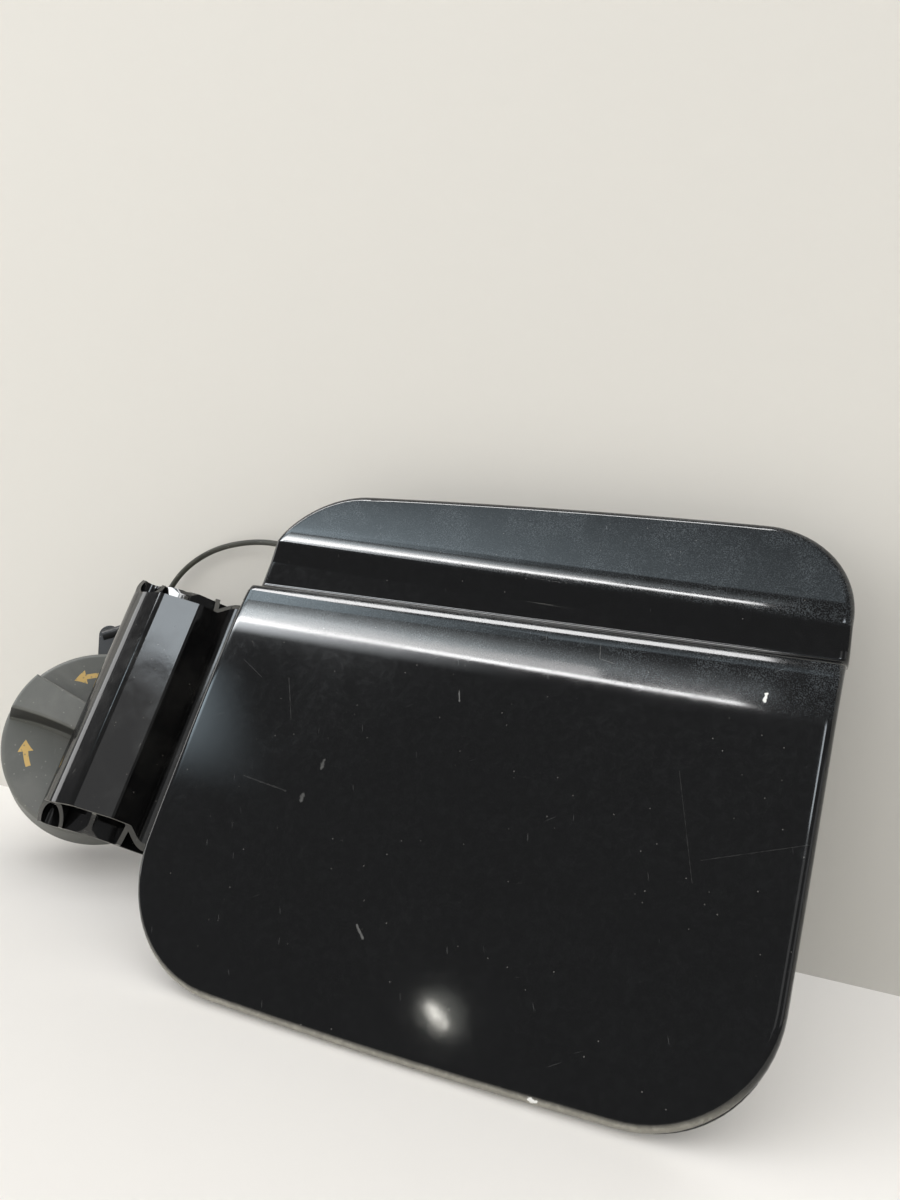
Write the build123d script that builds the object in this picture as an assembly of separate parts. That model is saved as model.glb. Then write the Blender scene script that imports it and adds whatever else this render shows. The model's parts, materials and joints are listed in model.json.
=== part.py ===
from build123d import *
import os
from math import cos, pi, radians, sin, tan

# Fuel filler door of a car: a pressed steel door on a moulded gooseneck arm, and the cap on its tether.
# Origin at the middle of the hinge bore, +X to the door's free edge, +Y into the car, +Z up.

# Door (mm, degrees), in coordinates of its own: x right, y back and z up from a point on its front plane
DOOR_AT = (152.5, -19.5, -4.0)
SIDES = (-95.7, 94.9, -81.3, 85.9)       # left, right, bottom, top
CORNER_RADII = (40.0, 32.5, 28.5, 31.0)  # bottom left, bottom right, top right, top left
SIDE_BOWS = (0.8, 0.3, 0.8, 1.2)         # bottom, right, top, left
SKIN = 0.8
HEM_DEPTH = 4.0
HEM_WIDTH = 9.0
ROLL = 2.2

# Pressed lines of the door: heights at the left and right edges
EDGE_X = 93.0
BEND = (33.8, 26.8)
GROOVE_LOW = (44.8, 40.4)
GROOVE_HIGH = (64.4, 55.3)
GROOVE_DEPTH = 4.6
FLOOR_TIP = 0.3
LEAN = 5.5
BEND_R = 70.0
LIP = 0.03

# Inner panel
RIM_WIDTH = 13.8
DISH_DEPTH = 10.5
DISH_SLOPE = 3.0
DISH_BACK = DISH_DEPTH + SKIN

# Hinge arm
ARM_LENGTH = 80.0
FRONT_END = 40.3
BACK_END = 47.0
BORE_R = 2.5
BARREL_R = 4.75
ARM_WALL = 1.5
ARM_SLANT = 18.0
RIBS = [(16.2, 1.0, 37.0), (24.5, 8.6, 48.0), (43.0, 19.5, 11.0), (56.0, 17.0, -26.0), (66.5, 4.0, -62.0)]
FLANGE_X = (80.0, 110.0)
FLANGE_T = 3.5
RIVET_R = 2.4
RIVET_X = 95.0
RIVET_Z = (-29.0, 0.0, 29.0)

# Latch striker and bump stops, in the door's own coordinates
STRIKER_AT = (64.0, 0.0)
STRIKER_T = 1.6
STOP_X = 72.0
STOP_Z = 44.0
STOP_R = 6.5

# Tether plug on the inner panel
ANCHOR = (93.0, DOOR_AT[1] + DISH_BACK, 52.5)
ANCHOR_STEM = 2.5

# Filler cap: a frame of its own, with its axis out of the face
CAP_AT = (-10.5, 18.5, -11.0)
CAP_TURN = 31.5
CAP_TIP = 3.5
GRIP_SLOPE = -12.0
CAP_R = 35.5
CAP_SKIRT = 16.0
CAP_WALL = 2.2
GRIP_TOP = (8.0, -8.0, -2.4)             # upper edge, lower edge at the ends, lower edge in the middle
GRIP_FOOT = (9.0, -12.8, -4.2)
GRIP_H = 7.5
SCOOP = 5.0
FACE_EDGE = -1.0
CLOSURE_R = 21.5
CLOSURE_END = 38.0
FLANGE_R = 29.0
TEETH = 24
TOOTH_R = (29.9, 31.4)
TAIL_ANGLE = 122.0
TAIL_R = 50.0

# Tether
CORD_R = 1.1
CORD_ROUTE = [
    (-32.0, 29.3, 37.2),
    (-24.0, 34.0, 44.5),
    (-17.5, 28.5, 55.5),
    (-10.5, 24.0, 64.5),
    (1.0, 20.2, 71.4),
    (15.0, 16.4, 74.4),
    (33.0, 11.6, 74.2),
    (54.0, 4.6, 68.6),
    (73.0, -2.2, 60.0),
    (87.0, -4.9, 54.5),
]

DOOR = Location(DOOR_AT)
FACE_OUT = Vector(
    sin(radians(CAP_TURN)) * cos(radians(CAP_TIP)),
    -cos(radians(CAP_TURN)) * cos(radians(CAP_TIP)),
    sin(radians(CAP_TIP)),
)
FACE_RIGHT = Vector(cos(radians(CAP_TURN)), sin(radians(CAP_TURN)), 0)
GRIP_DIR = FACE_RIGHT.rotate(Axis((0, 0, 0), FACE_OUT), GRIP_SLOPE)
CAP = Plane(origin=CAP_AT, x_dir=GRIP_DIR, z_dir=FACE_OUT)


def along(ends, x):
    """Height at x of a pressed line that runs straight between its heights at the two edges."""
    return ends[0] + (ends[1] - ends[0]) * (x + EDGE_X) / (2 * EDGE_X)


def door_outline(inset=0.0):
    """Outline of the door on its front plane, its sides bowed and its corners round, drawn in by inset."""
    left, right = SIDES[0] + inset, SIDES[1] - inset
    bottom, top = SIDES[2] + inset, SIDES[3] - inset
    x, z = (left + right) / 2, (bottom + top) / 2
    low, east, high, west = SIDE_BOWS
    corners = [(left, bottom), (right, bottom), (right, top), (left, top)]
    bows = [(x, bottom - low), (right + east, z), (x, top + high), (left - west, z)]
    sides = [ThreePointArc(corners[i], bows[i], corners[(i + 1) % 4]) for i in range(4)]
    face = make_face(sides)
    for corner, radius in zip(corners, CORNER_RADII):
        spot = face.vertices().sort_by_distance(Vector(*corner))[0]
        face = fillet(spot, max(radius - inset, 2.0))
    return Plane.XZ * face


def prism(face, start, stop):
    """Solid from a door-plane face, between two depths behind the front plane."""
    return Pos(0, start, 0) * extrude(face, amount=start - stop)


def span(section):
    """Solid ruled between a section's shape at the left of the door and its shape at the right."""
    ends = [Plane.YZ.offset(x) * section(x) for x in (SIDES[0] - 10, SIDES[1] + 10)]
    return loft(ends, ruled=True)


def behind_front(shift):
    """Everything behind the front surface without its groove, moved in by shift."""
    def section(x):
        bend = along(BEND, x)
        top = 120.0
        leaned = shift + (top - bend) * tan(radians(LEAN))
        points = [(shift, -top), (shift, bend), (leaned, top), (60, top), (60, -top)]
        return make_face(FilletPolyline(*points, radius=[0, BEND_R, 0, 0, 0], close=True))
    return span(section)


def offset_path(points, distance):
    """Open run of points moved sideways by distance, its corners mitred."""
    runs = [(Vector(*b) - Vector(*a)).normalized() for a, b in zip(points, points[1:])]
    sides = [Vector(-run.Y, run.X) for run in runs]
    moved = [Vector(*points[0]) + sides[0] * distance]
    for corner, a, b in zip(points[1:-1], sides, sides[1:]):
        mitre = (a + b) * (distance / (1 + a.dot(b)))
        moved.append(Vector(*corner) + mitre)
    moved.append(Vector(*points[-1]) + sides[-1] * distance)
    return moved


def groove(shift):
    """Cutter for the cross groove, with its lips rolled over, grown into the metal by shift."""
    def section(x):
        bend, low, high = along(BEND, x), along(GROOVE_LOW, x), along(GROOVE_HIGH, x)

        def on_strip(height, depth):
            return ((height - bend) * tan(radians(LEAN)) + depth, height)

        floor = on_strip((low + high) / 2, GROOVE_DEPTH)[0]
        run = [
            on_strip(low - 9, -LIP),
            on_strip(low, -LIP),
            (floor + FLOOR_TIP, low + 1.8),
            (floor - FLOOR_TIP, high - 3.2),
            on_strip(high, -LIP),
            on_strip(high + 9, -LIP),
        ]
        run = offset_path(run, -shift)
        front = [(-30, run[-1].Y), (-30, run[0].Y)]
        lip = max(1.5 - shift, 0.0)
        root = 2.2 + shift
        return make_face(FilletPolyline(*run, *front, radius=[0, lip, root, root, lip, 0, 0, 0], close=True))
    return span(section)


def door_body(inset, shift, roll=0.0):
    """Solid behind the pressed front surface and inside the outline, its front edge rolled over."""
    body = prism(door_outline(inset), -10, 30) & behind_front(shift)
    if roll:
        front = [e for e in body.edges() if e.bounding_box().max.Y < 20 and e.length < 150]
        body = fillet(front, roll)
    return body - groove(shift)


def outer_panel():
    """Pressed skin: front, rolled edge and the hem folded back behind it."""
    skin = door_body(0, 0, ROLL)
    space = door_body(SKIN, SKIN, ROLL - SKIN)
    hem = door_body(0, HEM_DEPTH - SKIN)
    back = door_body(-3, HEM_DEPTH)
    window = prism(door_outline(HEM_WIDTH), -10, 40)
    return skin - back - (space - hem) - (space & window)


def capsule(length, radius):
    """Outline of a slot with round ends, along X."""
    return SlotOverall(length, 2 * radius)


def inner_panel():
    """Pressed stiffener: a rim held in the hem, a dish behind it, two swaged beads and its holes."""
    rim_front = door_body(SKIN, HEM_DEPTH - 2 * SKIN)
    rim_back = door_body(0, HEM_DEPTH - SKIN)
    rim = rim_front - rim_back - prism(door_outline(RIM_WIDTH), -10, 40)
    outer = dish(RIM_WIDTH - SKIN, DISH_BACK)
    inner = dish(RIM_WIDTH, DISH_DEPTH)
    panel = rim + ((outer - inner) & rim_front)
    for height in (-46.0, 20.0):
        panel = swage(panel, 10.0, height, 70.0)
    for x, z, radius in panel_holes():
        panel -= Pos(x, 0, z) * Rot(90, 0, 0) * Cylinder(radius, 60)
    return panel


def dish(inset, depth):
    """Tapered block that forms one face of the inner panel's dish."""
    mouth = door_outline(inset)
    floor = Pos(0, depth, 0) * door_outline(inset + DISH_SLOPE)
    return loft([mouth, floor], ruled=True)


def swage(panel, x, z, length):
    """Raise a round-ended stiffening bead from the dish floor."""
    bead = prism(Plane.XZ * Pos(x, z) * capsule(length, 6.0), DISH_BACK - 0.2, DISH_BACK + 2.0)
    inside = capsule(length - 2 * SKIN, 6.0 - SKIN)
    hollow = prism(Plane.XZ * Pos(x, z) * inside, DISH_DEPTH - 1, DISH_DEPTH + 2.0)
    return panel + bead - hollow


def panel_holes():
    """Places and radii of the inner panel's holes: rivets, stops, tether plug and locating holes."""
    rivets = [(RIVET_X - DOOR_AT[0], z - DOOR_AT[2], RIVET_R) for z in RIVET_Z]
    striker = [(STRIKER_AT[0], STRIKER_AT[1] + z, RIVET_R) for z in (-11.0, 11.0)]
    stops = [(STOP_X, z, 2.6) for z in (-STOP_Z, STOP_Z - 9)]
    anchor = [(ANCHOR[0] - DOOR_AT[0], ANCHOR[2] - DOOR_AT[2], ANCHOR_STEM)]
    locating = [(-10.0, -14.0, 7.0), (38.0, -14.0, 7.0)]
    return rivets + striker + stops + anchor + locating


def arm_section():
    """Closed outline of the arm seen from above: barrel side, knuckle, gooseneck and door flange."""
    seat = DOOR_AT[1] + DISH_BACK
    front = [(0, -BARREL_R), (11.5, -6.6), (24.8, 0), (31.5, 9.4), (44, 14.5), (54, 13.5), (70, seat)]
    flange = [(FLANGE_X[1], seat), (FLANGE_X[1], seat + FLANGE_T), (FLANGE_X[0], seat + FLANGE_T)]
    back = [(58, 21.5), (42, 24.5), (27, 19.5), (13, 4.6), (0, BARREL_R)]
    front_radii = [0, 4.5, 2.5, 6.0, 9.0, 9.0, 3.0]
    return FilletPolyline(*front, *flange, *back, radius=front_radii + [1, 1, 6, 9, 10, 14, 5, 0], close=True)


def arm_cells(outline):
    """Hollow cells between the arm's skins, parted by ribs."""
    hollow = offset(outline, -ARM_WALL)
    for x, y, slope in RIBS:
        hollow -= Pos(x, y) * Rot(0, 0, slope) * Rectangle(ARM_WALL, 26)
    hollow -= Circle(BARREL_R)
    hollow -= Pos(FLANGE_X[0] + 20, 0) * Rectangle(40, 60)
    return hollow


def beyond_end(side):
    """Everything past one end of the arm, where the front skin stops short and the back skin runs on."""
    profile = [(-60, FRONT_END), (-3.5, FRONT_END), (1.0, BACK_END), (60, BACK_END), (60, 90), (-60, 90)]
    across = Plane(
        origin=(0, 0, 0),
        x_dir=(-sin(radians(ARM_SLANT)), cos(radians(ARM_SLANT)), 0),
        z_dir=(cos(radians(ARM_SLANT)), sin(radians(ARM_SLANT)), 0),
    )
    outline = make_face(Polyline(*[(q, side * z) for q, z in profile], close=True))
    return extrude(across * outline, amount=150, both=True)


def hinge_arm():
    """Moulded gooseneck: hinge barrel, hollow ribbed body cored from both ends, riveted flange."""
    outline = make_face(arm_section())
    body = extrude(outline, amount=BACK_END, both=True)
    core = extrude(arm_cells(outline), amount=ARM_LENGTH)
    body -= Pos(0, 0, 2) * core
    body -= Pos(0, 0, -2 - ARM_LENGTH) * core
    body -= Cylinder(BARREL_R, ARM_LENGTH + 40)
    body += Cylinder(BARREL_R, 2 * BACK_END) - Cylinder(BORE_R + 0.9, ARM_LENGTH + 40)
    body = body - beyond_end(1) - beyond_end(-1)
    body += Cylinder(BARREL_R, ARM_LENGTH)
    body -= Cylinder(BORE_R, ARM_LENGTH + 40)
    for z in RIVET_Z:
        body -= Pos(RIVET_X, 0, z) * Rot(90, 0, 0) * Cylinder(RIVET_R, 60)
    return body


def rivet(grip):
    """Round-head rivet: head at the back, shank through grip, flattened tail in front. Seat at y = 0."""
    head = Rot(-90, 0, 0) * Pos(0, 0, 0) * dome(4.6, 2.2)
    shank = Rot(90, 0, 0) * Pos(0, 0, grip / 2) * Cylinder(RIVET_R, grip)
    tail = Pos(0, -grip - 0.7, 0) * Rot(90, 0, 0) * Cylinder(3.9, 1.4)
    return head + shank + tail


def dome(radius, height):
    """Spherical cap that stands on the XY plane."""
    ball = (radius * radius + height * height) / (2 * height)
    return Pos(0, 0, height - ball) * Sphere(ball) & Pos(0, 0, height / 2) * Cylinder(radius * 2, height)


def arm_rivets():
    """Rivets that hold the arm's flange to the inner panel."""
    seat = DOOR_AT[1] + DISH_BACK + FLANGE_T
    return [Pos(RIVET_X, seat, z) * rivet(FLANGE_T + SKIN) for z in RIVET_Z]


def latch_striker():
    """Folded steel tongue with the window that the body latch hooks into."""
    x, z = STRIKER_AT
    foot = Pos(x, DISH_BACK + STRIKER_T / 2, z) * Rot(90, 0, 0) * extrude(
        RectangleRounded(24, 34, 3), amount=STRIKER_T / 2, both=True)
    tongue_face = Pos(0, 11) * RectangleRounded(18, 22, 4) - Pos(0, 13) * RectangleRounded(9, 8, 1.5)
    upright = Plane(origin=(x + 12 - STRIKER_T, DISH_BACK, z), x_dir=(0, 0, -1), z_dir=(1, 0, 0))
    tongue = upright * extrude(tongue_face, amount=STRIKER_T)
    striker = foot + tongue
    for dz in (-11.0, 11.0):
        striker -= Pos(x, DISH_BACK, z + dz) * Rot(90, 0, 0) * Cylinder(RIVET_R, 20)
    return striker


def striker_rivets():
    """Rivets that hold the striker's foot to the inner panel."""
    x, z = STRIKER_AT
    return [Pos(x, DISH_BACK + STRIKER_T, z + dz) * rivet(STRIKER_T + SKIN) for dz in (-11.0, 11.0)]


def bump_stop(z):
    """Rubber stop: tapered button behind the dish, waist in its hole, lip in front."""
    lip = [(0, -2.0), (4.0, -2.0), (3.2, 0)]
    waist = [(2.6, 0), (2.6, SKIN)]
    button = [(STOP_R, SKIN), (STOP_R - 1.2, 8.0), (0, 8.0)]
    profile = FilletPolyline(*lip, *waist, *button, radius=[0, 0.6, 0, 0, 0, 0.5, 1.5, 0], close=True)
    stop = revolve(make_face(profile), axis=Axis.Y)
    return Pos(STOP_X, DISH_DEPTH, z) * stop


def tether_anchor():
    """Push-in plug on the inner panel, with the socket that the tether ends in."""
    x, y, z = ANCHOR
    head = Pos(x, y + 1.25, z) * Rot(90, 0, 0) * Cylinder(6.0, 2.5)
    stem = Pos(x, y - SKIN / 2, z) * Rot(90, 0, 0) * Cylinder(ANCHOR_STEM, SKIN)
    barb = Pos(x, y - SKIN - 0.75, z) * Rot(90, 0, 0) * Cone(2.9, 2.1, 1.5)
    end = Vector(*CORD_ROUTE[-1])
    way = (end - Vector(*CORD_ROUTE[-2])).normalized()
    socket = Plane(origin=end, z_dir=way) * Pos(0, 0, 4.0) * Cylinder(2.4, 8.0)
    clear = Pos(x, y - 10, z) * Box(30, 20, 30)
    return head + stem + barb + (socket - clear)


def tether():
    """Plain tube along the tether's route, each corner on the largest arc that its runs allow."""
    points = [Vector(*p) for p in CORD_ROUTE]
    radii = []
    for a, b, c in zip(points, points[1:], points[2:]):
        half = radians((b - a).get_angle(c - b)) / 2
        radii.append(0.45 * min((b - a).length, (c - b).length) / tan(half))
    path = FilletPolyline(*points, radius=[0, *radii, 0][1:-1])
    tube = sweep(Plane(origin=path @ 0, z_dir=path % 0) * Circle(CORD_R), path=path)
    print("tether radii", [round(r, 1) for r in radii], "length", round(path.length, 1))
    plain = pi * CORD_R**2 * path.length
    print("tether volume", round(tube.volume, 1), "section by length", round(plain, 1))
    return tube


def tether_ring():
    """Ring that turns on the cap's neck, with a tail that carries the end of the tether."""
    ring = Pos(0, 0, -17.6) * (Cylinder(25.5, 1.8) - Cylinder(CLOSURE_R + 0.4, 4))
    tail = Rot(0, 0, TAIL_ANGLE) * Pos(36.5, 0, -17.6) * extrude(SlotOverall(32, 8), amount=0.9, both=True)
    ring = ring + (tail - Pos(0, 0, -17.6) * Cylinder(24, 4))
    start = Vector(*CORD_ROUTE[0])
    way = (Vector(*CORD_ROUTE[1]) - start).normalized()
    socket = Plane(origin=start, z_dir=way) * Pos(0, 0, -4.0) * Cylinder(2.4, 8.0)
    return CAP * ring + socket


def grip_plan(edges):
    """Plan of the grip bar: straight above, arched below for the finger tips."""
    upper, ends, middle = edges
    arch = ThreePointArc((CAP_R, ends), (0, middle), (-CAP_R, ends))
    rest = Polyline((-CAP_R, ends), (-CAP_R, upper), (CAP_R, upper), (CAP_R, ends))
    return make_face([arch, *rest.edges()])


def grip():
    """Grip bar across the face, drawn from its foot to its top and ending inside the cap's rim."""
    root = -SCOOP - 1.0
    bar = loft([Pos(0, 0, root) * grip_plan(GRIP_FOOT), Pos(0, 0, GRIP_H) * grip_plan(GRIP_TOP)], ruled=True)
    rim = Pos(0, 0, (GRIP_H + root) / 2) * Cone(CAP_R - 1.2, CAP_R - 3.0, GRIP_H - root)
    bar = bar & rim
    return fillet(bar.faces().sort_by(Axis.Z)[-1].edges(), 1.2)


def cap_cover():
    """Hand cover: shallow face and skirt, grip bar, ratchet teeth and snap tabs inside."""
    under = -SCOOP - CAP_WALL
    inner = CAP_R - CAP_WALL
    wall = [(CAP_R - 0.7, FACE_EDGE), (CAP_R, -CAP_SKIRT), (inner, -CAP_SKIRT), (inner, under)]
    outline = FilletPolyline(*wall, (0, under), (0, -SCOOP), radius=[1.6, 0.5, 0.5, 0, 0, 0], close=True)
    cover = revolve(Plane.XZ * make_face(outline), axis=Axis.Z) + grip()
    core_h = GRIP_H - CAP_WALL - under + 1.0
    cover -= Pos(0, 2.6, under - 1.0 + core_h / 2) * Box(2 * CAP_R - 18, 5.6, core_h)
    cover += Pos(0, 0, under - 2.0) * extrude(ratchet_teeth(), amount=2.2, both=True)
    for turn in range(45, 360, 90):
        cover += Rot(0, 0, turn) * Pos(inner - 2.2, 0, -14.3) * Box(5.4, 9, 1.2)
    return CAP * cover


def ratchet_teeth():
    """Ring of saw teeth that point inwards."""
    inner, outer = TOOTH_R
    step = 360 / TEETH
    points = []
    for i in range(TEETH):
        for radius, turn in ((inner, i * step), (outer, (i + 1) * step - 1.0)):
            points.append((radius * cos(radians(turn)), radius * sin(radians(turn))))
    return Circle(CAP_R - CAP_WALL + 0.4) - make_face(Polyline(*points, close=True))


def ratchet_ring():
    """Torque ring: a hoop with three spring arms whose tips ride on the cover's teeth."""
    hoop = Circle(21.0) - Circle(17.7)
    arm = Circle(26.5) - Circle(25.2)
    arm &= make_face(Polyline((0, 0), (60, 0), (60, 60), (20, 60), close=True))
    root = Rot(0, 0, 8) * Pos(22.8, 0) * Rectangle(6.0, 4.0)
    tip = Rot(0, 0, 66) * Pos(27.2, 0) * Rectangle(4.6, 2.4)
    ring = hoop
    for turn in (0, 120, 240):
        ring += Rot(0, 0, turn) * (arm + root + tip)
    return CAP * Pos(0, 0, -10.4) * extrude(ring, amount=1.2, both=True)


def cap_closure():
    """Threaded plug: top flange, neck for the tether ring, gasket collar and lugs on a hollow barrel."""
    r = CLOSURE_R
    flange = [(0, -11.6), (FLANGE_R, -11.6), (FLANGE_R, -13.6), (r, -13.6)]
    collar = [(r, -18.9), (25.5, -18.9), (25.5, -20.9), (r, -20.9), (r, -CLOSURE_END)]
    inside = [(r - 2, -CLOSURE_END), (r - 2, -13.6), (0, -13.6)]
    body = revolve(Plane.XZ * make_face(Polyline(*flange, *collar, *inside, close=True)), axis=Axis.Z)
    lug = revolve(Plane.XZ * make_face(FilletPolyline(
        (r - 0.5, -27), (r + 3, -28), (r + 3, -31), (r - 0.5, -32), radius=[0, 0.6, 0.6, 0], close=True)),
        axis=Axis.Z, revolution_arc=75)
    for turn in (0, 120, 240):
        body += Rot(0, 0, turn) * lug
    boss = Pos(0, 0, -10.9) * (Cylinder(17.7, 1.6) - Cylinder(15.0, 3))
    return CAP * (body + boss)


def cap_gasket():
    """Lip seal under the closure's collar."""
    lip = FilletPolyline((CLOSURE_R, -20.9), (25.2, -20.9), (26.2, -23.2), (24.6, -22.6), (CLOSURE_R, -24.0),
                         radius=[0, 0.3, 0.4, 0.4, 0], close=True)
    return CAP * revolve(Plane.XZ * make_face(lip), axis=Axis.Z)


def valve_seat():
    """Seat ring pressed into the closure's barrel."""
    outer = CLOSURE_R - 2
    lip = [(10, -25), (10, -22.4), (12.6, -22.4), (12.6, -23.4)]
    wall = [(outer, -23.4), (outer, -28), (outer - 1.5, -28), (outer - 1.5, -25)]
    return CAP * revolve(Plane.XZ * make_face(Polyline(*lip, *wall, close=True)), axis=Axis.Z)


def pressure_valve():
    """Disc that rests on the seat, bored for the vacuum valve's stem, with a rim that centres its spring."""
    plate = [(1.9, -22.3), (13.0, -22.3), (13.0, -20.6)]
    rim = [(8.2, -20.6), (8.2, -19.4), (7.0, -19.4), (7.0, -20.6), (1.9, -20.6)]
    return CAP * revolve(Plane.XZ * make_face(Polyline(*plate, *rim, close=True)), axis=Axis.Z)


def vacuum_valve():
    """Small poppet under the pressure valve, with a headed stem through it."""
    head = [(0, -24.2), (6.0, -24.2), (6.0, -22.4), (1.5, -22.4)]
    stem = [(1.5, -16.6), (3.4, -16.6), (3.4, -15.6), (0, -15.6)]
    return CAP * revolve(Plane.XZ * make_face(Polyline(*head, *stem, close=True)), axis=Axis.Z)


def coil(radius, wire, bottom, top, turns):
    """Round-wire compression spring between two heights on the cap's axis."""
    height = top - bottom - wire
    line = Helix(pitch=height / turns, height=height, radius=radius)
    spring = sweep(Plane(origin=line @ 0, z_dir=line % 0) * Circle(wire / 2), path=line, is_frenet=True)
    return CAP * Pos(0, 0, bottom + wire / 2) * spring


def build_parts():
    """Every piece by its name, in the part's frame."""
    return {
        "outer_panel": DOOR * outer_panel(),
        "inner_panel": DOOR * inner_panel(),
        "hinge_arm": hinge_arm(),
        "arm_rivets": Compound(children=arm_rivets()),
        "latch_striker": DOOR * latch_striker(),
        "striker_rivets": DOOR * Compound(children=striker_rivets()),
        "upper_bump_stop": DOOR * bump_stop(STOP_Z - 9),
        "lower_bump_stop": DOOR * bump_stop(-STOP_Z),
        "tether_anchor": tether_anchor(),
        "tether": tether(),
        "tether_ring": tether_ring(),
        "cap_cover": cap_cover(),
        "ratchet_ring": ratchet_ring(),
        "cap_closure": cap_closure(),
        "cap_gasket": cap_gasket(),
        "valve_seat": valve_seat(),
        "pressure_valve": pressure_valve(),
        "vacuum_valve": vacuum_valve(),
        "pressure_spring": coil(9.6, 1.1, -20.6, -13.6, 3),
        "vacuum_spring": coil(2.6, 0.6, -20.6, -16.6, 4),
    }


os.makedirs("parts", exist_ok=True)
for name, shape in build_parts().items():
    export_step(shape, os.path.join("parts", name + ".step"))
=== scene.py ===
import bpy
import json
from math import cos, hypot, pi, radians, sin, sqrt, tan
from mathutils import Matrix, Vector


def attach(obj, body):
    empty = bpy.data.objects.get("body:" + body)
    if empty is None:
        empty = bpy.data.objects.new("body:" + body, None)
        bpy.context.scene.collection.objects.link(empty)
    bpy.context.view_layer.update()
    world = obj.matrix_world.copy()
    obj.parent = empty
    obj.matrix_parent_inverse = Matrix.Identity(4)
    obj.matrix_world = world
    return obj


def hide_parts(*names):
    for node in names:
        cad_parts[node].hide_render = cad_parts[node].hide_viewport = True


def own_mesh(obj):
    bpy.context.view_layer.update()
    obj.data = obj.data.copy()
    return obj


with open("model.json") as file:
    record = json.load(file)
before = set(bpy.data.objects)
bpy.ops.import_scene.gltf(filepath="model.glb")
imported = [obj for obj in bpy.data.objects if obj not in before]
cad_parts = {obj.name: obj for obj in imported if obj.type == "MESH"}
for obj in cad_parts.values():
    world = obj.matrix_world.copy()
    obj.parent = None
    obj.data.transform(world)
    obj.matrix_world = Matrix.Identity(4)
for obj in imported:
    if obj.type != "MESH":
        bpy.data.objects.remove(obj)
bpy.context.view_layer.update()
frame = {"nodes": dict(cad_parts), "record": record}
MM = 0.001

# Camera of the photograph, and how far the door leans back against the backdrop, in metres and degrees
CAMERA_AT = (0.2811, -0.3021, -0.0878)
CAMERA_TURN = (113.37, -16.33, 20.98)
LENS = 33.87
SENSOR = 36.0
LEAN = 31.7
FLOOR_AT = Vector((0.1, -0.0158, -0.0861))
WALL_AT = Vector((0.1, 0.0837, -0.0236))
STAGE_SIZE = 6
UP = Vector((0, -sin(radians(LEAN)), cos(radians(LEAN))))
OUT = Vector((0, -cos(radians(LEAN)), -sin(radians(LEAN))))

# Door, in millimetres from the middle of its front plane
DOOR_AT = Vector((152.5, -19.5, -4.0))
SIDES = {"left": 95.7, "right": 94.9}
BOTTOM, TOP = -81.3, 85.9
CORNERS = {"left": (40.0, 31.0), "right": (34.0, 28.5)}   # bottom and top radius of each side
SIDE_BOW = {"left": 1.2, "right": 0.3}
END_BOW = 0.8
END_SHARE = 0.2   # part of the height over which the top and bottom edges take their bow
SKIN = 0.8
ROLL = 2.2
HEM_DEPTH = 4.0
HEM_WIDTH = 9.0
HEM_R = 1.0
EDGE_X = 93.0
BEND = (33.8, 26.8)
BEND_TURN = 3.6
BEND_R = 100.0
BEND_SOFT = 5.5
BEND_SOFT_R = 240.0
GROOVE_LOW = (46.3, 43.2)
GROOVE_HIGH = (64.4, 55.3)
GROOVE_DEPTH = 4.6
GROOVE_WALLS = (1.8, 6.5)
FLOOR_TIP = 0.3
LIP_R = 1.3
LOW_LIP = (11.0, 24.0)   # turn and radius of the soft start of the groove's lower lip
HIGH_LIP = (7.0, 50.0)   # and of its upper lip
LIP_GAP = 0.7   # straight run between a lip's soft start and its round
ROOT_R = 2.2
STRIP_LEAN = 5.5
ALONG = 20.0   # any way along a straight run of the section, to give a corner its direction
COLUMNS = 110
EDGE_CROWD = 0.35   # how much closer the columns stand at the sides
ROW_GAP = 12.0
FACE_ROWS = 5
FOOT_BAND_HEIGHT = 25.0   # how far up from the foot the pale dull band reaches

# Cap frame
CAP_AT = Vector((-10.5, 18.5, -11.0))
CAP_TURN = 31.5
CAP_TIP = 3.5
GRIP_SLOPE = -12.0

# Valve springs: the joint that presses each one, its fixed end along the cap's axis, its length and its give
SPRINGS = {
    "pressure_spring": ("pressure_lift", -13.6, 7.0, 1.55),
    "vacuum_spring": ("vacuum_drop", -20.6, 4.0, 1.25),
}

# Printed turn arrows on the cap, round its axis: the middle of each in degrees, and which way it points
ARROWS = ((133.0, 1.0), (222.0, -1.0))
ARROW_R = 26.2
ARROW_HALF = 0.9
ARROW_TAIL = -0.17   # start of the shaft, in radians from the middle
ARROW_NECK = (0.05, 0.06)   # where the head starts and the shaft ends
ARROW_HEAD = (-16.0, 3.5)   # change of its half width with each radian, and its half width at the middle
FACE_BACK = -6.5   # how far back the cap's face reaches

# Heights in the cap between which the painted shade in the hollow below its grip darkens and pales again
GRIP_SHADE_HEIGHTS = (0.0, 1.0, 6.2, 7.2)

# Crown of the arm's front: where it starts across the hinge, and half its curve
ARM_ROUND = 5.0
ARM_CROWN = 0.03

# Tether route, from the ring on the cap to the plug on the door
TETHER_ROUTE = [
    (-32.0, 29.3, 37.2), (-24.0, 34.0, 44.5), (-17.5, 28.5, 55.5), (-10.5, 24.0, 64.5), (1.0, 20.2, 71.4),
    (15.0, 16.4, 74.4), (33.0, 11.6, 74.2), (54.0, 4.6, 68.6), (73.0, -2.2, 60.0), (87.0, -4.9, 54.5),
]
TETHER_R = 1.1

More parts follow.
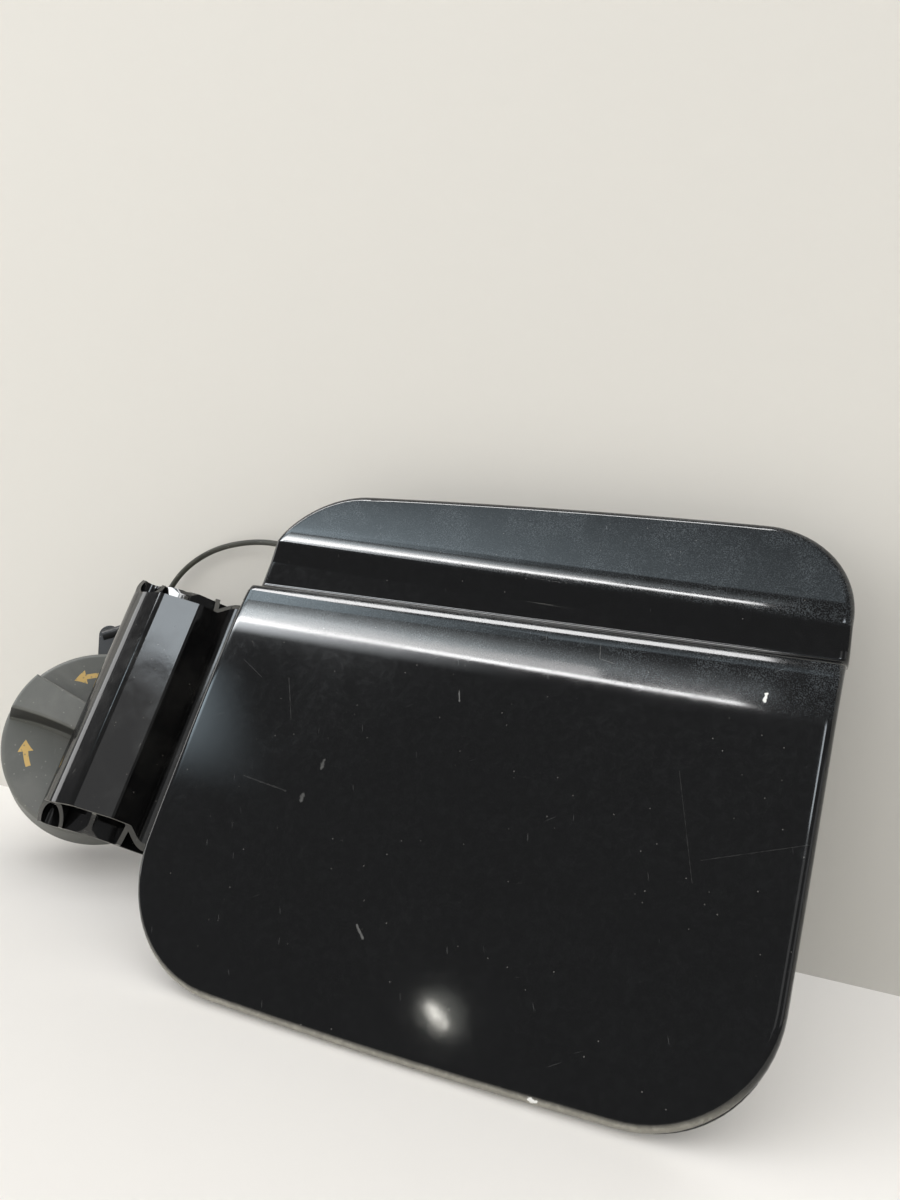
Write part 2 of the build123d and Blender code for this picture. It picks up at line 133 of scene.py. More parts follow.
# Lamps in the ceiling: span across and outwards, radiance, colour, and the strength left at the edges,
# for the left and right, or for the left, right, near and far
CEILING = 1.3
WHITE, WARM, BLUE = (1, 1, 1), (1.0, 0.98, 0.95), (0.74, 0.90, 1.0)
CEILING_LAMPS = {
    "tube": ((-1.30, -0.03), (0.635, 0.675), 26.0, WHITE, None),
    "tube_wide": ((-1.30, -0.25), (0.595, 0.635), 28.0, WHITE, (1.0, 0.30)),
    "tube_glow": ((-1.30, 0.02), (0.48, 0.610), 16.0, (0.88, 0.96, 1.0), (1.0, 0.10, 0.05, 1.0)),
    "tube_end": ((-1.35, -0.35), (0.675, 0.86), 20.0, (0.92, 0.97, 1.0), (1.0, 0.0, 1.0, 0.0)),
    "near_tube": ((-1.25, 0.04), (0.03, 0.16), 16.0, WHITE, None),
    "ridge_glow": ((-1.25, -0.20), (0.40, 0.56), 7.5, BLUE, (1.0, 0.03)),
    "top_glow": ((-1.10, 0.20), (0.20, 0.40), 4.8, BLUE, (1.0, 0.16, 0.20, 1.0)),
    "side_window": ((-1.45, -1.03), (0.93, 1.30), 10.0, BLUE, (1.0, 0.0, 1.0, 0.0)),
    "arm_panel": ((0.20, 0.60), (0.72, 1.08), 8.0, (0.86, 0.94, 1.0), None),
    "arm_fill": ((0.20, 0.90), (1.08, 1.75), 0.65, WHITE, None),
}

# Lamps that look at the middle of the object: place across, outwards and up, size, radiance, colour, if soft
MIDDLE = Vector((0.1, -0.02, 0.0))
STANDING_LAMPS = {
    "soft_front": ((-0.2, 1.9, 0.75), (3.0, 1.4), 1.4, WARM, True),
    "soft_left": ((-1.9, 0.9, 0.5), (1.8, 1.0), 2.8, WHITE, True),
    "soft_right": ((2.0, 0.9, 0.5), (1.4, 1.0), 1.4, WHITE, True),
    "soft_back": ((0.3, -1.5, 0.9), (1.8, 1.2), 1.8, WHITE, True),
    "back_window": ((0.3, -1.5, 0.9), (1.8, 1.2), 6.0, WHITE, False),
    "right_window": ((2.6, 0.6, 1.0), (1.2, 0.9), 0.6, WHITE, False),
}

# Small lamp that shows low on the door's face, and the place on the face that it looks at
SPOT_AT = Vector((-0.409, -1.404, 0.002))
SPOT_SEEN = Vector((0.1641, -0.0195, -0.0726))
SPOT_ROLL = -35.0

# Marks on the door's paint: both ends across and up from its middle, half width, and how pale
PAINT_MARKS = [
    ((-45, -9), (-45, -11), 1.0, 0.08),
    ((-48, -20), (-48, -22), 0.9, 0.08),
    ((-70, -18), (-54, -20), 0.3, 0.025),
    ((-86, 19), (-77, 14), 0.15, 0.04),
    ((-67, 15), (-61, 2), 0.15, 0.04),
    ((-9, 19), (-8, 16), 0.3, 0.14),
    ((77, 31), (77, 29), 0.7, 0.95),
    ((29, 40), (30, 35), 0.15, 0.10),
    ((30, 35), (35, 34), 0.15, 0.10),
    ((59, 6), (68, -22), 0.12, 0.025),
    ((69, -16), (94, -7), 0.12, 0.025),
    ((-18, -52), (-15, -55), 0.4, 0.12),
    ((40, -81), (42, -81), 0.7, 0.95),
]


# Small steps that every piece uses

def deselect():
    bpy.ops.object.select_all(action="DESELECT")


def make_active(piece):
    deselect()
    piece.select_set(True)
    bpy.context.view_layer.objects.active = piece


def apply_modifier(piece, kind, **values):
    make_active(piece)
    modifier = piece.modifiers.new(kind.lower(), kind)
    for key, value in values.items():
        setattr(modifier, key, value)
    bpy.ops.object.modifier_apply(modifier=modifier.name)


def smooth(piece, angle=32.0):
    make_active(piece)
    bpy.ops.object.shade_smooth_by_angle(angle=radians(angle))
    apply_modifier(piece, "WEIGHTED_NORMAL", keep_sharp=True, weight=60)


def finish_piece(piece, body, slot, material, *nodes):
    """Give a piece its finish, its body and the nodes that it stands for."""
    piece.data.materials.clear()
    piece.data.materials.append(material)
    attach(piece, body)
    if nodes:
        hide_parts(*nodes)


# Shader steps

def put(tree, kind, inputs=None, **settings):
    """Add a shader node, set it up, and give its inputs a plain value or a link."""
    node = tree.nodes.new("ShaderNode" + kind)
    for key, value in settings.items():
        setattr(node, key, value)
    for key, value in (inputs or {}).items():
        feed(tree, node.inputs[key], value)
    return node


def feed(tree, socket, value):
    if isinstance(value, bpy.types.NodeSocket):
        tree.links.new(value, socket)
    else:
        socket.default_value = value


def sums(tree, operation, *values, clamp=False):
    """Result of a Math node."""
    node = put(tree, "Math", dict(enumerate(values)), operation=operation, use_clamp=clamp)
    return node.outputs[0]


def ramp(tree, value, low, high, to_low=0.0, to_high=1.0):
    """Value carried smoothly from one range to another, held at its ends."""
    node = put(tree, "MapRange", interpolation_type="SMOOTHSTEP")
    for key, given in (("Value", value), ("From Min", low), ("From Max", high)):
        feed(tree, node.inputs[key], given)
    node.inputs["To Min"].default_value = to_low
    node.inputs["To Max"].default_value = to_high
    return node.outputs["Result"]


def blended(tree, mask, under, over):
    """Colour that goes from one to the other by a mask."""
    node = put(tree, "Mix", data_type="RGBA")
    feed(tree, node.inputs[0], mask)
    feed(tree, node.inputs[6], under)
    feed(tree, node.inputs[7], over)
    return node.outputs[2]


def laid_on(tree, tone, mask, share, colour):
    """Colour with a share of another laid on it by a mask."""
    return blended(tree, sums(tree, "MULTIPLY", mask, share), tone, colour)


def new_group(name, inputs, outputs):
    """Empty shader group with its sockets; gives the tree, what comes in and what goes out."""
    tree = bpy.data.node_groups.new(name, "ShaderNodeTree")
    for label, kind, value in inputs:
        socket = tree.interface.new_socket(name=label, in_out="INPUT", socket_type="NodeSocket" + kind)
        if value is not None:
            socket.default_value = value
    for label, kind in outputs:
        tree.interface.new_socket(name=label, in_out="OUTPUT", socket_type="NodeSocket" + kind)
    entry = tree.nodes.new("NodeGroupInput")
    leave = tree.nodes.new("NodeGroupOutput")
    return tree, entry.outputs, leave.inputs


def place(tree, group, **values):
    """Put a shared group into a material with its own values."""
    node = tree.nodes.new("ShaderNodeGroup")
    node.node_tree = group
    for key, value in values.items():
        feed(tree, node.inputs[key], value)
    return node.outputs


# Shared effects

def scratch_group():
    """Short fine scratches: a long thin dot in some of the cells of a stretched random grid."""
    tree, given, result = new_group("scratches", [
        ("Vector", "Vector", None), ("Turn", "Vector", (0, 0, 0)), ("Cell", "Vector", (0.0013, 0.004, 0.013)),
        ("Size", "Float", 0.10), ("Cover", "Float", 0.15),
    ], [("Mask", "Float")])
    bend = put(tree, "TexNoise", {"Vector": given["Vector"], "Scale": 60.0, "Detail": 0.0})
    shift = put(tree, "VectorMath", {0: bend.outputs["Color"], "Scale": 0.004}, operation="SCALE").outputs[0]
    bent = put(tree, "VectorMath", {0: given["Vector"], 1: shift}, operation="ADD").outputs[0]
    mapping = put(tree, "Mapping", {"Vector": bent, "Rotation": given["Turn"], "Scale": given["Cell"]},
                  vector_type="TEXTURE")
    cells = put(tree, "TexVoronoi", {"Vector": mapping.outputs[0], "Scale": 1.0})
    core = sums(tree, "MULTIPLY", given["Size"], 0.4)
    line = sums(tree, "SUBTRACT", 1.0, ramp(tree, cells.outputs["Distance"], core, given["Size"]))
    parts = put(tree, "SeparateColor", {0: cells.outputs["Color"]})
    chosen = sums(tree, "LESS_THAN", parts.outputs[0], given["Cover"])
    depth = ramp(tree, parts.outputs[1], 0.0, 1.0, 0.25, 1.0)
    feed(tree, result["Mask"], sums(tree, "MULTIPLY", sums(tree, "MULTIPLY", line, chosen), depth))
    return tree


def speck_group():
    """Dust and small pits: a dot in some of the cells of a random grid."""
    tree, given, result = new_group("specks", [
        ("Vector", "Vector", None), ("Scale", "Float", 500.0),
        ("Size", "Float", 0.2), ("Cover", "Float", 0.3),
    ], [("Mask", "Float")])
    cells = put(tree, "TexVoronoi", {"Vector": given["Vector"], "Scale": given["Scale"]})
    core = sums(tree, "MULTIPLY", given["Size"], 0.5)
    dot = sums(tree, "SUBTRACT", 1.0, ramp(tree, cells.outputs["Distance"], core, given["Size"]))
    parts = put(tree, "SeparateColor", {0: cells.outputs["Color"]})
    chosen = sums(tree, "LESS_THAN", parts.outputs[0], given["Cover"])
    feed(tree, result["Mask"], sums(tree, "MULTIPLY", dot, chosen))
    return tree


def smudge_group():
    """Wiped film: cloudy patches with a wispy edge."""
    tree, given, result = new_group("smudges", [
        ("Vector", "Vector", None), ("Scale", "Float", 30.0), ("Low", "Float", 0.45), ("High", "Float", 0.7),
    ], [("Mask", "Float")])
    cloud = put(tree, "TexNoise", {
        "Vector": given["Vector"], "Scale": given["Scale"],
        "Detail": 5.0, "Roughness": 0.62, "Distortion": 0.6})
    feed(tree, result["Mask"], ramp(tree, cloud.outputs["Fac"], given["Low"], given["High"]))
    return tree


def mark_group():
    """One scratch or chip: pale inside a width round a short straight run, with an uneven edge."""
    tree, given, result = new_group("mark", [
        ("Vector", "Vector", None), ("From", "Vector", (0, 0, 0)), ("To", "Vector", (0, 0, 0)),
        ("Width", "Float", 0.0005), ("Strength", "Float", 0.5), ("Grit", "Float", 0.5),
    ], [("Mask", "Float")])
    flat = put(tree, "VectorMath", {0: given["Vector"], 1: (1, 0, 1)}, operation="MULTIPLY").outputs[0]
    reach = put(tree, "VectorMath", {0: flat, 1: given["From"]}, operation="SUBTRACT").outputs[0]
    run = put(tree, "VectorMath", {0: given["To"], 1: given["From"]}, operation="SUBTRACT").outputs[0]
    on = put(tree, "VectorMath", {0: reach, 1: run}, operation="DOT_PRODUCT").outputs["Value"]
    whole = put(tree, "VectorMath", {0: run, 1: run}, operation="DOT_PRODUCT").outputs["Value"]
    share = sums(tree, "DIVIDE", on, whole, clamp=True)
    foot = put(tree, "VectorMath", {0: run, "Scale": share}, operation="SCALE").outputs[0]
    away = put(tree, "VectorMath", {0: reach, 1: foot}, operation="DISTANCE").outputs["Value"]
    edge = sums(tree, "MULTIPLY", given["Width"], ramp(tree, given["Grit"], 0.3, 0.7, 0.35, 1.3))
    inside = sums(tree, "SUBTRACT", 1.0, ramp(tree, away, sums(tree, "MULTIPLY", edge, 0.4), edge))
    feed(tree, result["Mask"], sums(tree, "MULTIPLY", inside, given["Strength"]))
    return tree


def grain_group():
    """Moulded or sprayed surface: fine even texture over long soft waves."""
    tree, given, result = new_group("grain", [
        ("Vector", "Vector", None), ("Fine", "Float", 1500.0),
        ("Wave", "Float", 90.0), ("Share", "Float", 0.5),
    ], [("Height", "Float")])
    fine = put(tree, "TexNoise", {"Vector": given["Vector"], "Scale": given["Fine"], "Detail": 2.0})
    wave = put(tree, "TexNoise", {"Vector": given["Vector"], "Scale": given["Wave"], "Detail": 1.0})
    rest = sums(tree, "SUBTRACT", 1.0, given["Share"])
    height = sums(tree, "MULTIPLY_ADD", wave.outputs["Fac"], rest,
                  sums(tree, "MULTIPLY", fine.outputs["Fac"], given["Share"]))
    feed(tree, result["Height"], height)
    return tree


SCRATCHES = scratch_group()
SPECKS = speck_group()
SMUDGES = smudge_group()
MARK = mark_group()
GRAIN = grain_group()


# Finishes

def new_finish(name, **sockets):
    """Material with its plain values set; gives it, its tree, its surface shader and its own coordinates."""
    material = bpy.data.materials.new(name)
    material.use_nodes = True
    tree = material.node_tree
    surface = tree.nodes["Principled BSDF"]
    for key, value in sockets.items():
        surface.inputs[key.replace("_", " ")].default_value = value
    where = put(tree, "TexCoord").outputs["Object"]
    return material, tree, surface, where


def relief(tree, surface, height, strength, depth):
    """Fine relief of a surface, its depth in millimetres."""
    bump = put(tree, "Bump", {"Height": height, "Strength": strength, "Distance": depth * MM})
    feed(tree, surface.inputs["Normal"], bump.outputs["Normal"])


def door_point(x, z):
    return ((DOOR_AT.x + x) * MM, 0.0, (DOOR_AT.z + z) * MM)


def paint_marks(tree, where):
    """All the single marks on the door's paint as one mask."""
    grit = put(tree, "TexNoise", {"Vector": where, "Scale": 900.0, "Detail": 2.0}).outputs["Fac"]
    mask = None
    for start, stop, width, strength in PAINT_MARKS:
        spot = place(tree, MARK, Vector=where, From=door_point(*start), To=door_point(*stop),
                     Width=width * MM, Strength=strength, Grit=grit)["Mask"]
        mask = spot if mask is None else sums(tree, "MAXIMUM", mask, spot)
    return mask


def strip_dust_and_reflection(tree, where):
    """Mask of the strips above the bend, which lean back; dust is laid on there with a painted bluish
    reflection of the ceiling lamps, and none on the face or the groove.
    """
    x, _, z = put(tree, "SeparateXYZ", {0: where}).outputs

    def above(line):
        """How far a point stands above one of the pressed lines."""
        slope = (line[1] - line[0]) / (2 * EDGE_X)
        middle = DOOR_AT.z + (line[0] + line[1]) / 2 - slope * DOOR_AT.x
        return sums(tree, "SUBTRACT", z, sums(tree, "MULTIPLY_ADD", x, slope, middle * MM))

    ridge = ramp(tree, above(BEND), -4 * MM, 4 * MM, 0.04, 1.0)
    groove = sums(tree, "MULTIPLY", ramp(tree, above(GROOVE_LOW), -1 * MM, MM),
                  ramp(tree, above(GROOVE_HIGH), -1 * MM, MM, 1.0, 0.0))
    return sums(tree, "MULTIPLY", ridge, sums(tree, "SUBTRACT", 1.0, groove))


def pale_foot_band(tree, where, film):
    """Mask of the pale dull band on the rolled edge at the foot of the door, where it faces down."""
    height = put(tree, "SeparateXYZ", {0: where}).outputs[2]
    upright = put(tree, "SeparateXYZ", {0: put(tree, "TexCoord").outputs["Normal"]}).outputs[2]
    foot = DOOR_AT.z + BOTTOM
    low = ramp(tree, height, foot * MM, (foot + FOOT_BAND_HEIGHT) * MM, 1.0, 0.0)
    facing_down = ramp(tree, upright, -0.75, -0.15, 1.0, 0.0)
    patchy = sums(tree, "MULTIPLY_ADD", film, 0.35, 0.60)
    return sums(tree, "MULTIPLY", patchy, sums(tree, "MULTIPLY", low, facing_down))


def door_paint():
    """Gloss black enamel, wiped dusty, with fine scratches, dust and a few chips; on the strips above the
    bend the dust carries a painted bluish reflection, and the rolled foot has a pale dull band.
    """
    material, tree, surface, where = new_finish("door_paint", Coat_Roughness=0.5, IOR=1.5)
    film = place(tree, SMUDGES, Vector=where, Scale=420.0, Low=0.40, High=0.76)["Mask"]
    haze = place(tree, SMUDGES, Vector=where, Scale=14.0, Low=0.48, High=0.72)["Mask"]
    steep = place(tree, SCRATCHES, Vector=where, Turn=(0, radians(-20), 0), Cell=(0.0015, 0.004, 0.014),
                  Size=0.10, Cover=0.20)["Mask"]
    level = place(tree, SCRATCHES, Vector=where, Turn=(0, radians(62), 0), Cell=(0.0012, 0.005, 0.026),
                  Size=0.09, Cover=0.10)["Mask"]
    dust = place(tree, SPECKS, Vector=where, Scale=330.0, Size=0.075, Cover=0.35)["Mask"]
    lines = sums(tree, "MAXIMUM", steep, level)
    chips = paint_marks(tree, where)
    tone = blended(tree, film, (0.0030, 0.0031, 0.0033, 1), (0.0048, 0.0050, 0.0053, 1))
    tone = laid_on(tree, tone, lines, 0.14, (0.30, 0.30, 0.30, 1))
    tone = laid_on(tree, tone, dust, 0.34, (0.34, 0.33, 0.31, 1))
    patches = place(tree, SMUDGES, Vector=where, Scale=70.0, Low=0.36, High=0.70)["Mask"]
    dust_and_reflection = sums(tree, "MULTIPLY", strip_dust_and_reflection(tree, where), sums(tree, "MULTIPLY_ADD", patches, 0.7, 0.3))
    powder = put(tree, "TexNoise", {"Vector": where, "Scale": 2600.0, "Detail": 2.0}).outputs["Fac"]
    grains = sums(tree, "MAXIMUM", ramp(tree, powder, 0.40, 0.72), sums(tree, "MULTIPLY", lines, 1.6))
    grains = sums(tree, "MULTIPLY", dust_and_reflection, grains)
    # dust and painted reflection: pale bluish grains on the strips, tinted like the ceiling lamps that they
    # mirror
    tone = laid_on(tree, tone, grains, 0.11, (0.50, 0.57, 0.62, 1))
    # pale olive-grey, dull band on the downward-facing rolled edge at the foot
    foot_band = pale_foot_band(tree, where, film)
    tone = blended(tree, foot_band, tone, (0.36, 0.345, 0.295, 1))
    tone = blended(tree, chips, tone, (0.80, 0.80, 0.78, 1))
    feed(tree, surface.inputs["Base Color"], tone)
    rough = sums(tree, "MULTIPLY_ADD", film, 0.02, 0.055)
    rough = sums(tree, "MULTIPLY_ADD", haze, 0.03, rough)
    rough = sums(tree, "MAXIMUM", rough, sums(tree, "MULTIPLY", sums(tree, "MAXIMUM", chips, foot_band), 0.55))
    feed(tree, surface.inputs["Roughness"], rough)
    dusty = sums(tree, "MULTIPLY", film, sums(tree, "MULTIPLY_ADD", haze, 0.03, 0.006))
    feed(tree, surface.inputs["Coat Weight"], dusty)
    peel = place(tree, GRAIN, Vector=where, Fine=1100.0, Wave=260.0, Share=0.25)["Height"]
    relief(tree, surface, sums(tree, "SUBTRACT", peel, sums(tree, "MULTIPLY", lines, 0.4)), 0.05, 0.05)
    return material


def inner_paint():
    """Satin black primer on the pressed inner panel, dusty in its corners."""
    material, tree, surface, where = new_finish("inner_paint", IOR=1.5)
    film = place(tree, SMUDGES, Vector=where, Scale=24.0, Low=0.42, High=0.72)["Mask"]
    dust = place(tree, SPECKS, Vector=where, Scale=300.0, Size=0.09, Cover=0.45)["Mask"]
    lines = place(tree, SCRATCHES, Vector=where, Turn=(0, radians(38), 0), Size=0.10, Cover=0.25)["Mask"]
    tone = blended(tree, film, (0.018, 0.018, 0.019, 1), (0.036, 0.036, 0.034, 1))
    tone = laid_on(tree, tone, lines, 0.30, (0.24, 0.24, 0.24, 1))
    tone = laid_on(tree, tone, dust, 0.40, (0.26, 0.25, 0.23, 1))
    feed(tree, surface.inputs["Base Color"], tone)
    feed(tree, surface.inputs["Roughness"], sums(tree, "MULTIPLY_ADD", film, 0.18, 0.30))
    peel = place(tree, GRAIN, Vector=where, Fine=900.0, Wave=180.0, Share=0.5)["Height"]
    relief(tree, surface, peel, 0.22, 0.10)
    return material


def arm_plastic():
    """Glossy black moulding with soft sink waves, rubbed marks and dust specks, and painted light: its end
    faces are pale grey.
    """
    material, tree, surface, where = new_finish("arm_plastic", Coat_Roughness=0.5, IOR=1.5)
    film = place(tree, SMUDGES, Vector=where, Scale=60.0, Low=0.44, High=0.74)["Mask"]
    rubbed = place(tree, SCRATCHES, Vector=where, Turn=(0, radians(12), radians(25)),
                   Size=0.11, Cover=0.30)["Mask"]
    dust = place(tree, SPECKS, Vector=where, Scale=420.0, Size=0.10, Cover=0.40)["Mask"]
    tone = blended(tree, film, (0.0042, 0.0042, 0.0043, 1), (0.0100, 0.0098, 0.0090, 1))
    tone = laid_on(tree, tone, rubbed, 0.30, (0.26, 0.26, 0.25, 1))
    tone = laid_on(tree, tone, dust, 0.30, (0.30, 0.28, 0.25, 1))
    upright = put(tree, "SeparateXYZ", {0: put(tree, "TexCoord").outputs["Normal"]}).outputs[2]
    ends = ramp(tree, sums(tree, "ABSOLUTE", upright), 0.45, 0.85)
    # painted light: faces that look along the arm, its ends, are made pale grey for the light they catch
    tone = laid_on(tree, tone, ends, 0.85, (0.25, 0.245, 0.225, 1))
    feed(tree, surface.inputs["Base Color"], tone)
    shine = sums(tree, "MULTIPLY_ADD", film, 0.09, 0.07)
    feed(tree, surface.inputs["Roughness"], sums(tree, "MAXIMUM", shine, sums(tree, "MULTIPLY", ends, 0.5)))
    feed(tree, surface.inputs["Coat Weight"], sums(tree, "MULTIPLY", film, 0.12))
    waves = place(tree, GRAIN, Vector=where, Fine=700.0, Wave=70.0, Share=0.10)["Height"]
    across = put(tree, "SeparateXYZ", {0: where}).outputs[0]
    past = sums(tree, "SUBTRACT", ARM_ROUND * MM, across)
    away = sums(tree, "DIVIDE", sums(tree, "MAXIMUM", past, 0.0), MM)
    rounding = sums(tree, "MULTIPLY", sums(tree, "POWER", away, 2.0), -ARM_CROWN)
    relief(tree, surface, sums(tree, "MULTIPLY_ADD", waves, 0.036, rounding), 1.0, 1.0)
    return material


def turned_in(tree, where, at, turn):
    """Coordinates of a part's own frame, from its place and turn."""
    mapping = put(tree, "Mapping", {"Vector": where}, vector_type="TEXTURE")
    mapping.inputs["Location"].default_value = at
    mapping.inputs["Rotation"].default_value = turn
    return mapping.outputs[0]


def turn_arrow(tree, local, middle, way):
    """Mask of a small curved arrow printed on the cap's face round its axis."""
    x, y, z = put(tree, "SeparateXYZ", {0: local}).outputs
    angle = sums(tree, "ARCTAN2", y, x)
    swing = sums(tree, "WRAP", sums(tree, "SUBTRACT", angle, radians(middle)), pi, -pi)
    swing = sums(tree, "MULTIPLY", swing, way)
    radius = sums(tree, "SQRT", sums(tree, "ADD", sums(tree, "POWER", x, 2.0), sums(tree, "POWER", y, 2.0)))
    across = sums(tree, "ABSOLUTE", sums(tree, "SUBTRACT", radius, ARROW_R * MM))
    head_start, shaft_end = ARROW_NECK
    shaft = sums(tree, "LESS_THAN", across, ARROW_HALF * MM)
    shaft = sums(tree, "MULTIPLY", shaft, sums(tree, "GREATER_THAN", swing, ARROW_TAIL))
    shaft = sums(tree, "MULTIPLY", shaft, sums(tree, "LESS_THAN", swing, shaft_end))
    narrowing = sums(tree, "MULTIPLY_ADD", swing, ARROW_HEAD[0] * MM, ARROW_HEAD[1] * MM)
    head = sums(tree, "LESS_THAN", across, narrowing)
    head = sums(tree, "MULTIPLY", head, sums(tree, "GREATER_THAN", swing, head_start))
    front = sums(tree, "GREATER_THAN", z, FACE_BACK * MM)
    return sums(tree, "MULTIPLY", sums(tree, "MAXIMUM", shaft, head), front)


def painted_grip_shade(tree, local):
    """Mask of the painted shade in the hollow below the cap's grip."""
    _, y, z = put(tree, "SeparateXYZ", {0: local}).outputs
    rise_from, rise_to, fall_from, fall_to = (height * MM for height in GRIP_SHADE_HEIGHTS)
    rising = ramp(tree, z, rise_from, rise_to)
    falling = ramp(tree, z, fall_from, fall_to, 1.0, 0.0)
    below = sums(tree, "LESS_THAN", y, 0.0)
    return sums(tree, "MULTIPLY", sums(tree, "MULTIPLY", rising, falling), below)


def cap_plastic(local_at, local_turn):
    """Dark grey moulded plastic with a fine even texture, rubbed paler, two printed arrows, and painted shade
    in the hollow below its grip.
    """
    material, tree, surface, where = new_finish("cap_plastic", IOR=1.47)
    local = turned_in(tree, where, local_at, local_turn)
    film = place(tree, SMUDGES, Vector=where, Scale=46.0, Low=0.40, High=0.72)["Mask"]
    rubbed = place(tree, SCRATCHES, Vector=local, Turn=(radians(90), 0, radians(30)),
                   Size=0.12, Cover=0.35)["Mask"]
    dust = place(tree, SPECKS, Vector=where, Scale=520.0, Size=0.20, Cover=0.30)["Mask"]
    arrows = sums(tree, "MAXIMUM", *(turn_arrow(tree, local, middle, way) for middle, way in ARROWS))
    worn = place(tree, SPECKS, Vector=where, Scale=900.0, Size=0.42, Cover=0.5)["Mask"]
    ink = sums(tree, "MULTIPLY", arrows, sums(tree, "SUBTRACT", 1.0, sums(tree, "MULTIPLY", worn, 0.5)))
    tone = blended(tree, film, (0.115, 0.119, 0.108, 1), (0.150, 0.152, 0.140, 1))
    tone = laid_on(tree, tone, rubbed, 0.16, (0.34, 0.34, 0.32, 1))
    tone = laid_on(tree, tone, dust, 0.30, (0.42, 0.41, 0.37, 1))
    tone = blended(tree, ink, tone, (0.64, 0.43, 0.13, 1))
    # painted shade: the hollow below the grip is darkened nearly to black
    tone = laid_on(tree, tone, painted_grip_shade(tree, local), 0.85, (0.012, 0.012, 0.011, 1))
    feed(tree, surface.inputs["Base Color"], tone)
    feed(tree, surface.inputs["Roughness"], sums(tree, "MULTIPLY_ADD", film, 0.10, 0.46))
    pebble = place(tree, GRAIN, Vector=where, Fine=2100.0, Wave=120.0, Share=0.75)["Height"]
    relief(tree, surface, pebble, 0.35, 0.09)
    return material


def dull_plastic(name, dark, pale, rough, fine):
    """Moulded plastic of one colour with flow clouds, dust and a fine texture."""
    material, tree, surface, where = new_finish(name, IOR=1.48)
    film = place(tree, SMUDGES, Vector=where, Scale=60.0, Low=0.40, High=0.74)["Mask"]
    dust = place(tree, SPECKS, Vector=where, Scale=560.0, Size=0.20, Cover=0.30)["Mask"]
    tone = blended(tree, film, dark, pale)
    tone = laid_on(tree, tone, dust, 0.25, (0.36, 0.34, 0.30, 1))
    feed(tree, surface.inputs["Base Color"], tone)
    feed(tree, surface.inputs["Roughness"], sums(tree, "MULTIPLY_ADD", film, 0.14, rough))
    texture = place(tree, GRAIN, Vector=where, Fine=fine, Wave=150.0, Share=0.6)["Height"]
    relief(tree, surface, texture, 0.25, 0.06)
    return material


def rubber():
    """Soft black rubber with a bloom of grey and a pebbled skin."""
    material, tree, surface, where = new_finish("black_rubber", IOR=1.45)
    bloom = place(tree, SMUDGES, Vector=where, Scale=130.0, Low=0.40, High=0.75)["Mask"]
    dust = place(tree, SPECKS, Vector=where, Scale=700.0, Size=0.24, Cover=0.4)["Mask"]
    tone = blended(tree, bloom, (0.014, 0.014, 0.014, 1), (0.040, 0.039, 0.037, 1))
    tone = laid_on(tree, tone, dust, 0.35, (0.24, 0.23, 0.21, 1))
    feed(tree, surface.inputs["Base Color"], tone)
    feed(tree, surface.inputs["Roughness"], sums(tree, "MULTIPLY_ADD", bloom, 0.15, 0.68))
    skin = place(tree, GRAIN, Vector=where, Fine=1600.0, Wave=300.0, Share=0.7)["Height"]
    relief(tree, surface, skin, 0.4, 0.10)
    return material


def plated_metal(name, bright, stained, rough):
    """Plated or drawn metal with clouded stains, scuffs and a faint rolled texture."""
    material, tree, surface, where = new_finish(name, Metallic=1.0)
    stain = place(tree, SMUDGES, Vector=where, Scale=150.0, Low=0.42, High=0.72)["Mask"]
    scuff = place(tree, SCRATCHES, Vector=where, Turn=(0, radians(20), 0), Size=0.22, Cover=0.6)["Mask"]
    tone = blended(tree, stain, bright, stained)
    feed(tree, surface.inputs["Base Color"], tone)
    dulled = sums(tree, "MULTIPLY_ADD", stain, 0.18, rough)
    feed(tree, surface.inputs["Roughness"], sums(tree, "MULTIPLY_ADD", scuff, 0.15, dulled))
    texture = place(tree, GRAIN, Vector=where, Fine=1300.0, Wave=260.0, Share=0.5)["Height"]
    relief(tree, surface, texture, 0.15, 0.05)
    return material


# Door skin

def between(ends, x):
    return ends[0] + (ends[1] - ends[0]) * (x + EDGE_X) / (2 * EDGE_X)


def held(z, inset):
    """Height kept between the door's lowest and highest."""
    return max(min(z, TOP - inset), BOTTOM + inset)


def side_x(side, z, inset):
    """Distance from the middle of the door to one side of its outline at height z, drawn in by inset."""
    low, high = (r - inset for r in CORNERS[side])
    width, bottom, top = SIDES[side] - inset, BOTTOM + inset, TOP - inset
    half = (top - bottom) / 2
    bow = SIDE_BOW[side] * (1 - ((z - (top + bottom) / 2) / half) ** 2)
    for radius, past in ((high, z - (top - high)), (low, bottom + low - z)):
        if past > 0:
            return width - radius + sqrt(max(radius ** 2 - past ** 2, 0)) + bow
    return width + bow


def side_out(side, z, inset):
    """Outward direction of one side of the outline at height z, as x and z parts."""
    above, below = held(z + 0.05, inset), held(z - 0.05, inset)
    if above - below < 0.08:
        return (0.0, 1.0 if z > 0 else -1.0)
    slope = (side_x(side, above, inset) - side_x(side, below, inset)) / (above - below)
    size = hypot(1, slope)
    sign = 1 if side == "right" else -1
    return (sign / size, -slope / size)


def round_corner(before, corner, after, radius, steps):
    """Points of the arc that rounds one corner of a section."""
    corner = Vector(corner)
    back = (Vector(before) - corner).normalized()
    on = (Vector(after) - corner).normalized()
    half = back.angle(on) / 2
    centre = corner + (back + on).normalized() * radius / sin(half)
    start = corner + back * radius / tan(half) - centre
    stop = corner + on * radius / tan(half) - centre
    return [centre + start.slerp(stop, i / steps).normalized() * radius for i in range(steps + 1)]


